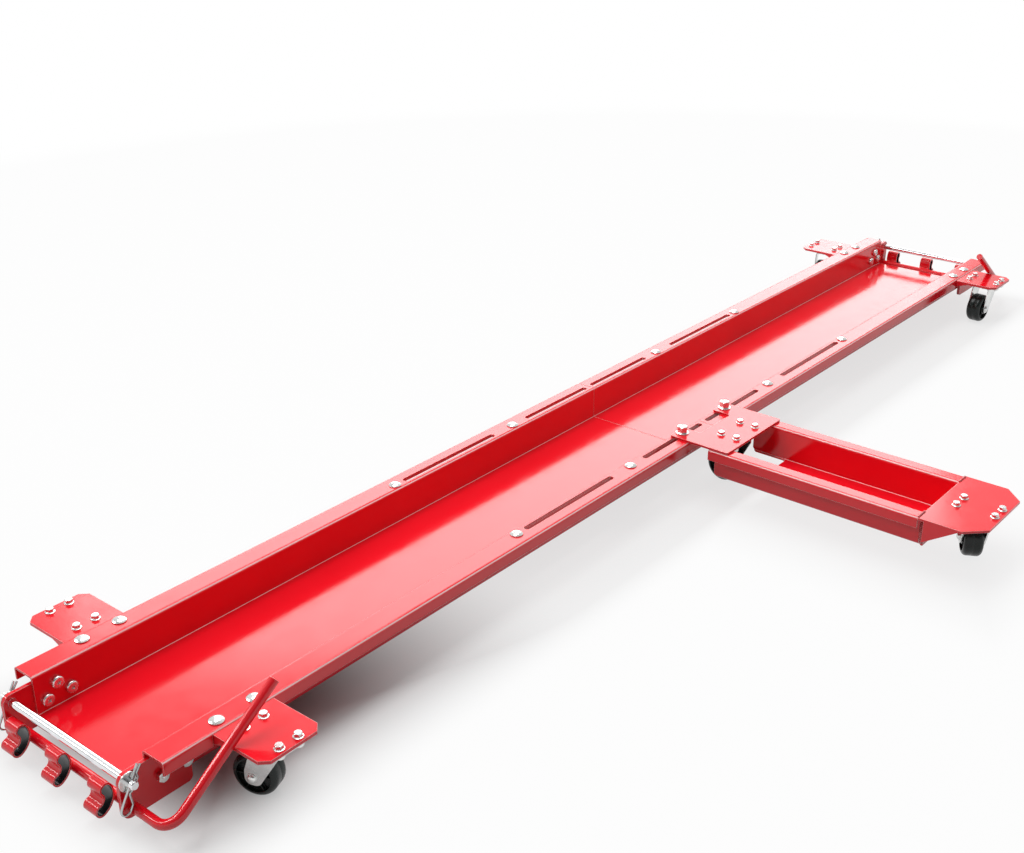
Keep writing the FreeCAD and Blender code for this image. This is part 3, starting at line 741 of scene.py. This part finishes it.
def thread(work, radius, start, length, place):
    """Threaded end of a bolt: ridges and a chamfered tip."""
    root = radius * (1 - thread_depth_share)
    ridges = max(1, round(length / thread_pitch))
    step = length / ridges
    profile = [(root, start)]
    for i in range(ridges):
        profile.append((radius, start - step * (i + thread_crest_share)))
        profile.append((root, start - step * (i + 1)))
    profile.append((root * thread_tip_share, start - length - thread_tip))
    lathe(work, profile, place)


def nut_below(work, across, height, radius, grip, place):
    """Nut under the grip, with the bolt's end through it."""
    hex_block(work, across, -grip - height, -grip, True, place)
    thread(work, radius, -grip - height, thread_end, place)


def dome_bolt(work, grip, place):
    """Low domed head on a thin rim, and its nut."""
    crown = dome_height - dome_rim
    sphere = (dome_radius ** 2 + crown ** 2) / (2 * crown)
    widest = math.asin(dome_radius / sphere)
    profile = [
        (dome_radius - dome_rim_chamfer, 0),
        (dome_radius, dome_rim_chamfer),
        (dome_radius, dome_rim),
    ]
    for i in range(1, dome_rows):
        lean = widest * (1 - i / dome_rows)
        profile.append((sphere * math.sin(lean), dome_height - sphere * (1 - math.cos(lean))))
    lathe(work, profile, place)
    nut_below(work, big_nut_across, big_nut_height, big_thread, grip, place)


def flange_bolt(work, grip, place):
    """Hex head on a sloped round flange, and its nut."""
    slope = hex_flange_height / 2
    profile = [
        (hex_flange_radius, 0),
        (hex_flange_radius, slope),
        (hex_across / 2, hex_flange_height),
    ]
    lathe(work, profile, place)
    hex_block(work, hex_across, slope, hex_height, False, place)
    nut_below(work, small_nut_across, small_nut_height, small_thread, grip, place)


def recess_row(share, height):
    """Ring of a cross, three points to each arm."""
    arm = recess_arm * share
    half = recess_half_width * share
    points = [(half, half), (half, arm), (-half, arm)]
    row = []
    for turn in range(recess_arms):
        row += [(x, y, height) for x, y in points]
        points = [(-y, x) for x, y in points]
    return row


def pan_screw(work, grip, place):
    """Pan head with a cross recess, and its nut."""
    shoulder = pan_height * pan_shoulder_share
    profile = [(pan_radius, 0), (pan_radius, shoulder)]
    for share in pan_round_shares:
        lean = math.pi / 2 * share
        inset = pan_radius * pan_inset_share * (1 - math.cos(lean))
        profile.append((pan_radius - inset, shoulder + (pan_height - shoulder) * math.sin(lean)))
    rows = [ring_of(work, placed(place, circle(*point, lathe_sides))) for point in profile]
    for first, second in zip(rows, rows[1:]):
        band(work, first, second)
    work.faces.new(rows[0])
    brim = rows[-1]
    cross = ring_of(work, placed(place, recess_row(1.0, pan_height)))
    sunk = ring_of(work, placed(place, recess_row(recess_taper_share, pan_height - recess_depth)))
    edges = [work.edges.get((brim[i - 1], brim[i])) for i in range(len(brim))]
    edges += [work.edges.new((cross[i - 1], cross[i])) for i in range(len(cross))]
    bmesh.ops.triangle_fill(work, edges=edges, use_beauty=True, use_dissolve=False)
    for i in range(len(cross)):
        work.faces.new((cross[i - 1], cross[i], sunk[i], sunk[i - 1]))
    work.faces.new(sunk)
    nut_below(work, bracket_nut_across, bracket_nut_height, small_thread, grip, place)


def clamp_bolt(work, grip, place):
    """Tall hex head on a washer, and its nut."""
    drop = -clamp_washer_thickness
    washer = [
        (clamp_washer_radius - washer_edge, drop),
        (clamp_washer_radius, drop + washer_edge),
        (clamp_washer_radius, -washer_edge),
        (clamp_washer_radius - washer_edge, 0),
    ]
    lathe(work, washer, place)
    hex_block(work, big_nut_across, 0, clamp_head_height, False, place)
    lathe(work, [(big_thread, drop), (big_thread, -grip)], place)
    nut_below(work, big_nut_across, big_nut_height, big_thread, grip, place)


def fasteners(work, name, maker, grip, seats):
    """A fastener at each seat, each with a turn of its own."""
    draw = random.Random(name)
    for place, axis in seats:
        maker(work, grip, axes_at(place, axis, draw.uniform(0, 2 * math.pi)))


def fastener_set(name, node, body, maker, grip, seats):
    """One piece that holds all the fasteners of a node."""
    piece = mesh_piece(name, "zinc", body, "zinc", fasteners, name, maker, grip, seats)
    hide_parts(node)


def castor_seats(x, y, z, spacing_x, spacing_y):
    """Seats of a castor's four bolts."""
    return [
        ((x + i * spacing_x / 2, y + j * spacing_y / 2, z), up_axis)
        for i in both_sides
        for j in both_sides
    ]


splice_seats = [
    ((i * x, rail_line + j * slot_line, rail_height), up_axis)
    for x in splice_bolt_x
    for i in both_sides
    for j in both_sides
]
plate_seats = [
    ((i * castor_x + k * plate_bolt_spacing / 2, rail_line + j * plate_bolt_line, rail_height), up_axis)
    for i in both_sides
    for j in both_sides
    for k in both_sides
]
corner_seats = []
for i in both_sides:
    for j in both_sides:
        place = (i * castor_x, rail_line + j * castor_line, flange_under)
        corner_seats += castor_seats(*place, bolt_spacing_short, bolt_spacing_long)
screw_places = [
    (rail_half_length - along * bracket_overlap, rail_height - down * trough_depth)
    for along, down in bracket_screw_shares
]
screw_seats = [
    ((i * x, rail_line + j * trough_half, z), (0, -j, 0))
    for x, z in screw_places
    for i in both_sides
    for j in both_sides
]
inner_plate_top = rail_height + slide_gap + tray_plate_thickness
inner_place = (0, rail_line - inner_castor_line, inner_plate_top)
outer_place = (0, rail_line - outer_castor_line, rail_height)
tray_seats = castor_seats(*inner_place, bolt_spacing_long, bolt_spacing_short)
tray_seats += castor_seats(*outer_place, bolt_spacing_short, bolt_spacing_long)
clamp_top = inner_plate_top + clamp_washer_thickness
clamp_seats = [((i * clamp_bolt_x, rail_line - slot_line, clamp_top), up_axis) for i in both_sides]

splice_grip = 2 * sheet
plate_grip = sheet + castor_plate_thickness
castor_grip = castor_plate_thickness + mount_thickness
screw_grip = sheet + bracket_thickness
tray_grip = tray_plate_thickness + mount_thickness
clamp_grip = clamp_washer_thickness + tray_plate_thickness + 2 * sheet + 2 * slide_gap
fastener_set("splice_dome_bolts", "splice_bolts", "frame", dome_bolt, splice_grip, splice_seats)
fastener_set("plate_dome_bolts", "castor_plate_bolts", "frame", dome_bolt, plate_grip, plate_seats)
fastener_set("corner_flange_bolts", "castor_bolts", "frame", flange_bolt, castor_grip, corner_seats)
fastener_set("bracket_pan_screws", "end_bracket_bolts", "frame", pan_screw, screw_grip, screw_seats)
fastener_set("tray_flange_bolts", "tray_castor_bolts", "tray", flange_bolt, tray_grip, tray_seats)
fastener_set("tray_slot_bolts", "tray_clamp_bolts", "tray", clamp_bolt, clamp_grip, clamp_seats)


# Castor wheels and axles

def wheel(work, place):
    """Wheel with rounded shoulders, a mould line, recessed webs, ribs and a hub."""
    rim = wheel_radius - rim_depth
    shoulder = []
    for i in range(arc_steps + 1):
        lean = math.pi / 2 * i / arc_steps
        radius = wheel_radius - wheel_round * (1 - math.sin(lean))
        shoulder.append((radius, wheel_half - wheel_round * (1 - math.cos(lean))))
    half = [(bush_radius + running_clearance, wheel_half), (hub_radius - wheel_edge, wheel_half)]
    half += [(hub_radius, wheel_half - wheel_edge), (hub_radius, web_half), (rim, web_half)]
    half += [(rim, wheel_half - wheel_edge), (rim + wheel_edge, wheel_half)]
    half += shoulder + [(wheel_radius, mould_line_half), (wheel_radius - mould_line, 0)]
    profile = half + [(radius, -height) for radius, height in reversed(half[:-1])]
    ring_lathe(work, profile, place, wheel_sides)
    start = hub_radius - rib_inset
    end = rim + rib_inset
    for side in both_sides:
        low = side * (web_half - rib_inset)
        high = side * (wheel_half - 2 * rib_inset)
        for i in range(rib_count):
            rib = place @ Matrix.Rotation(2 * math.pi * i / rib_count, 4, "Z")
            rows = []
            for height, width in ((low, rib_half), (high, rib_half * rib_taper_share)):
                corners = ((start, -width), (end, -width), (end, width), (start, width))
                rows.append(placed(rib, [(*corner, height) for corner in corners]))
            tube(work, rows)


def rivet(work, place):
    """Domed axle head on a pressed ring."""
    ring = [
        (rivet_ring_radius, 0),
        (rivet_ring_radius - washer_edge, rivet_ring_height),
        (rivet_radius, rivet_ring_height),
    ]
    lathe(work, ring, place)
    dome = []
    for i in range(dome_rows):
        lean = math.pi / 2 * i / dome_rows
        dome.append((rivet_radius * math.cos(lean), rivet_ring_height + rivet_height * math.sin(lean)))
    lathe(work, dome, place)


def axle_heads(work, place, axle):
    """Rivet heads on both faces of a fork."""
    for side in both_sides:
        rivet(work, axes_at(place + axle * side * fork_face, axle * side))


spin_joints = [joint for joint in frame["joints"] if joint["name"].startswith("spin_")]
for joint in spin_joints:
    name = joint["name"].removeprefix("spin_")
    place = Vector(joint["pos_m"])
    axle = Vector(joint["axis"])
    middle = axes_at(place, axle)
    piece = mesh_piece("wheel_moulding_" + name, "wheel", "wheel_" + name, "wheel", wheel, middle)
    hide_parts("castor_wheel_" + name)
    piece = mesh_piece("axle_heads_" + name, "zinc", "swivel_" + name, "zinc", axle_heads, place, axle)
    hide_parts("castor_axle_" + name)


# Ramp rods and spring clips

def rounded_line(points, radii):
    """Plane line with its corners rounded by short steps."""
    line = [Vector(points[0])]
    for before, corner, after, radius in zip(points, points[1:], points[2:], radii):
        corner = Vector(corner)
        first = (Vector(before) - corner).normalized()
        second = (Vector(after) - corner).normalized()
        half = first.angle(second) / 2
        centre = corner + (first + second).normalized() * radius / math.sin(half)
        start = corner + first * radius / math.tan(half) - centre
        end = corner + second * radius / math.tan(half) - centre
        sweep = math.pi - 2 * half
        for i in range(bend_steps + 1):
            share = i / bend_steps
            weights = (math.sin(sweep * (1 - share)), math.sin(sweep * share))
            line.append(centre + (start * weights[0] + end * weights[1]) / math.sin(sweep))
    line.append(Vector(points[-1]))
    return line


def clip_line():
    """Spring clip about the rod's middle: along the prong, then aside of it."""
    step = rod_radius + clip_wire_radius + clip_gap
    beside = 2 * clip_wire_radius + clip_gap
    middle = (clip_loop_reach + clip_neck) / 2
    points = [
        (-clip_prong, 0),
        (clip_loop_reach, 0),
        (clip_loop_reach, clip_loop_width),
        (middle, clip_loop_width),
        (clip_neck, beside),
        (step, step),
        (-step, step),
        (-clip_neck, beside),
        (-clip_prong, beside + clip_wire_radius),
    ]
    loop = [clip_loop_width / 2] * 2
    bends = [clip_bend] * (len(points) - 2 - len(loop))
    return rounded_line(points, loop + bends)


def wire(work, line, place):
    """Round wire along a plane line, carried by a function from the plane to space."""
    rings = []
    for i, point in enumerate(line):
        ahead = line[min(i + 1, len(line) - 1)] - line[max(i - 1, 0)]
        aside = Vector((-ahead.y, ahead.x)).normalized()
        ring = []
        for k in range(wire_sides):
            angle = 2 * math.pi * k / wire_sides
            spot = point + aside * clip_wire_radius * math.cos(angle)
            ring.append(place(spot.x, spot.y, clip_wire_radius * math.sin(angle)))
        rings.append(ring)
    tube(work, rings)


def clip_axes():
    """Directions along and aside of a clip whose loop rests against the lock's bar."""
    to_bar = Vector((rod_x - bar_x, bar_z - rod_z))
    stand_off = clip_loop_width + clip_wire_radius + bar_radius + clip_rest_gap
    angle = math.atan2(to_bar.y, to_bar.x) - math.asin(stand_off / to_bar.length)
    along = Vector((math.cos(angle), math.sin(angle)))
    return along, Vector((-along.y, along.x))


def rod_clips(work, x_sign):
    """Spring clips of one rod."""
    clip_along, clip_aside = clip_axes()
    clip_plane = bracket_face + rod_washer_thickness + 2 * clip_wire_radius
    for side in both_sides:
        def on_clip(along, aside, out):
            spot = clip_along * along + clip_aside * aside
            y = rail_line + side * clip_plane + out
            return Vector((-x_sign * (spot.x - rod_x), y, rod_z + spot.y))

        wire(work, clip_line(), on_clip)


def rod_washers(work, x_sign):
    """Washers of one rod."""
    bore = rod_radius + running_clearance
    profile = [
        (bore, 0),
        (rod_washer_outer - washer_edge, 0),
        (rod_washer_outer, washer_edge),
        (rod_washer_outer, rod_washer_thickness - washer_edge),
        (rod_washer_outer - washer_edge, rod_washer_thickness),
        (bore, rod_washer_thickness),
    ]
    for side in both_sides:
        seat = (x_sign * rod_x, rail_line + side * (bracket_face + slide_gap), rod_z)
        ring_lathe(work, profile, axes_at(seat, (0, side, 0)))


def bright_rod(work, x_sign):
    """Rod with chamfered ends."""
    profile = [
        (rod_radius - rod_chamfer, -rod_end),
        (rod_radius, -rod_end + rod_chamfer),
        (rod_radius, rod_end - rod_chamfer),
        (rod_radius - rod_chamfer, rod_end),
    ]
    lathe(work, profile, axes_at((x_sign * rod_x, rail_line, rod_z), (0, 1, 0)), rod_sides)


for end, x_sign in rail_ends.items():
    body = "rod_" + end
    mesh_piece("rod_washers_" + end, "zinc", body, "zinc", rod_washers, x_sign)
    piece = mesh_piece("rod_clips_" + end, "clip_steel", body, "zinc", rod_clips, x_sign)
    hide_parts("ramp_rod_fasteners_" + end)
    piece = mesh_piece("bright_rod_" + end, "chrome", body, "chrome", bright_rod, x_sign)
    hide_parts("ramp_rod_" + end)


# Studio floor, world, lamps and camera

def seen_rays(tree):
    """One for rays that show the background: from the camera, or by way of metal or glass."""
    path = tree.nodes.new("ShaderNodeLightPath")
    shown = path.outputs["Is Camera Ray"]
    for ray in ("Is Glossy Ray", "Is Transmission Ray"):
        shown = math_node(tree, "MAXIMUM", shown, path.outputs[ray])
    return shown


def shade(tree, parts, middle, reach_x, reach_y, shares):
    """First share under a footprint on the Y axis, rising to the second share away from it."""
    x_away = math_node(tree, "ABSOLUTE", parts["X"])
    y_away = math_node(tree, "ABSOLUTE", math_node(tree, "SUBTRACT", parts["Y"], middle))
    x_share = smooth_change(tree, x_away, *reach_x, *shares)
    y_share = smooth_change(tree, y_away, *reach_y, *shares)
    return math_node(tree, "MAXIMUM", x_share, y_share)


def floor_finish():
    """Pale finish with a painted white glow for seen rays, which lightens its shadows everywhere but
    under the rail's front and is white far out.
    """
    material, tree, shader = new_material("studio_floor")
    tones = [[tone] * 3 for tone in (floor_white, floor_white + floor_cloud_rise)]
    tree.links.new(ramp(tree, noise_field(tree, floor_cloud), tones), shader.inputs["Base Color"])
    shader.inputs["Roughness"].default_value = floor_roughness
    shader.inputs["Specular IOR Level"].default_value = floor_gloss
    coordinates = tree.nodes.new("ShaderNodeTexCoord").outputs["Object"]
    distance = tree.nodes.new("ShaderNodeVectorMath")
    distance.operation = "LENGTH"
    tree.links.new(coordinates, distance.inputs[0])
    far_out = smooth_change(tree, distance.outputs["Value"], *floor_fade)
    parts = split(tree, coordinates)
    # Painted light: the glow's share under the rail, rising along X behind its front
    painted_light = smooth_change(tree, parts["X"], *shade_thins, 0.0, shade_thin_share)
    under_rail = shade(tree, parts, rail_line, rail_shade_along, rail_shade_across, rail_shade_shares)
    under_rail = math_node(tree, "MAXIMUM", under_rail, painted_light)
    tray_reach = (tray_shade_across, tray_shade_along)
    under_tray = shade(tree, parts, tray_shade_middle, *tray_reach, tray_shade_shares)
    under = math_node(tree, "MINIMUM", under_rail, under_tray)
    fade = math_node(tree, "MAXIMUM", far_out, under)
    # Painted light: a white glow, seen by camera and glossy rays, laid over the floor's shadows by these
    # shares
    glow = tree.nodes.new("ShaderNodeEmission")
    glow.inputs["Color"].default_value = white
    mix = tree.nodes.new("ShaderNodeMixShader")
    tree.links.new(math_node(tree, "MULTIPLY", fade, seen_rays(tree)), mix.inputs["Fac"])
    tree.links.new(shader.outputs["BSDF"], mix.inputs[1])
    tree.links.new(glow.outputs["Emission"], mix.inputs[2])
    tree.links.new(mix.outputs["Shader"], tree.nodes["Material Output"].inputs["Surface"])
    return material


def floor():
    """Square floor at the wheels' feet."""
    mesh = bpy.data.meshes.new("studio_floor")
    work = bmesh.new()
    corners = ((-1, -1), (1, -1), (1, 1), (-1, 1))
    work.faces.new(ring_of(work, [(i * floor_half, j * floor_half, 0) for i, j in corners]))
    work.to_mesh(mesh)
    work.free()
    piece = bpy.data.objects.new("studio_floor", mesh)
    bpy.context.scene.collection.objects.link(piece)
    mesh.materials.append(floor_finish())


def world():
    """Bright studio dome, dark on the camera's side, behind a white backdrop round the horizon."""
    scene_world = bpy.data.worlds.new("studio")
    bpy.context.scene.world = scene_world
    scene_world.use_nodes = True
    tree = scene_world.node_tree
    heading = tree.nodes.new("ShaderNodeTexCoord").outputs["Generated"]
    facing = tree.nodes.new("ShaderNodeVectorMath")
    facing.operation = "DOT_PRODUCT"
    facing.inputs[1].default_value = studio_bright_side
    tree.links.new(heading, facing.inputs[0])
    dome = change(tree, facing.outputs["Value"], *studio_turn, studio_dark, studio_bright)
    backdrop = smooth_change(tree, split(tree, heading)["Z"], *horizon_band, 1.0, 0.0)
    shown = math_node(tree, "MULTIPLY", backdrop, seen_rays(tree))
    background = tree.nodes["Background"]
    tree.links.new(math_node(tree, "MAXIMUM", dome, shown), background.inputs["Strength"])
    background.inputs["Color"].default_value = white


def lamp(name, place, aim, width, height, watts, roll):
    """Soft rectangular lamp aimed at a point and rolled about its aim."""
    light = bpy.data.lights.new(name, "AREA")
    light.shape = "RECTANGLE"
    light.size = width
    light.size_y = height
    light.energy = watts
    piece = bpy.data.objects.new(name, light)
    bpy.context.scene.collection.objects.link(piece)
    piece.location = place
    stand = (Vector(aim) - Vector(place)).to_track_quat("-Z", "Y").to_matrix()
    piece.rotation_euler = (stand @ Matrix.Rotation(roll, 3, "Z")).to_euler()


def camera():
    """Camera at its place, turned by two of its axes."""
    data = bpy.data.cameras.new("camera")
    data.sensor_fit = "HORIZONTAL"
    data.sensor_width = camera_sensor_mm
    data.lens = camera_focal_pixels / picture_width_pixels * camera_sensor_mm
    data.clip_start = camera_near
    data.clip_end = camera_far
    piece = bpy.data.objects.new("camera", data)
    bpy.context.scene.collection.objects.link(piece)
    right = Vector(camera_right).normalized()
    up = (Vector(camera_up) - right * Vector(camera_up).dot(right)).normalized()
    turn = Matrix((right, up, right.cross(up))).transposed()
    piece.matrix_world = Matrix.Translation(camera_place) @ turn.to_4x4()
    bpy.context.scene.camera = piece


floor()
world()
for name, settings in lamps.items():
    lamp(name, *settings)
camera()
bpy.context.scene.view_settings.view_transform = "Standard"
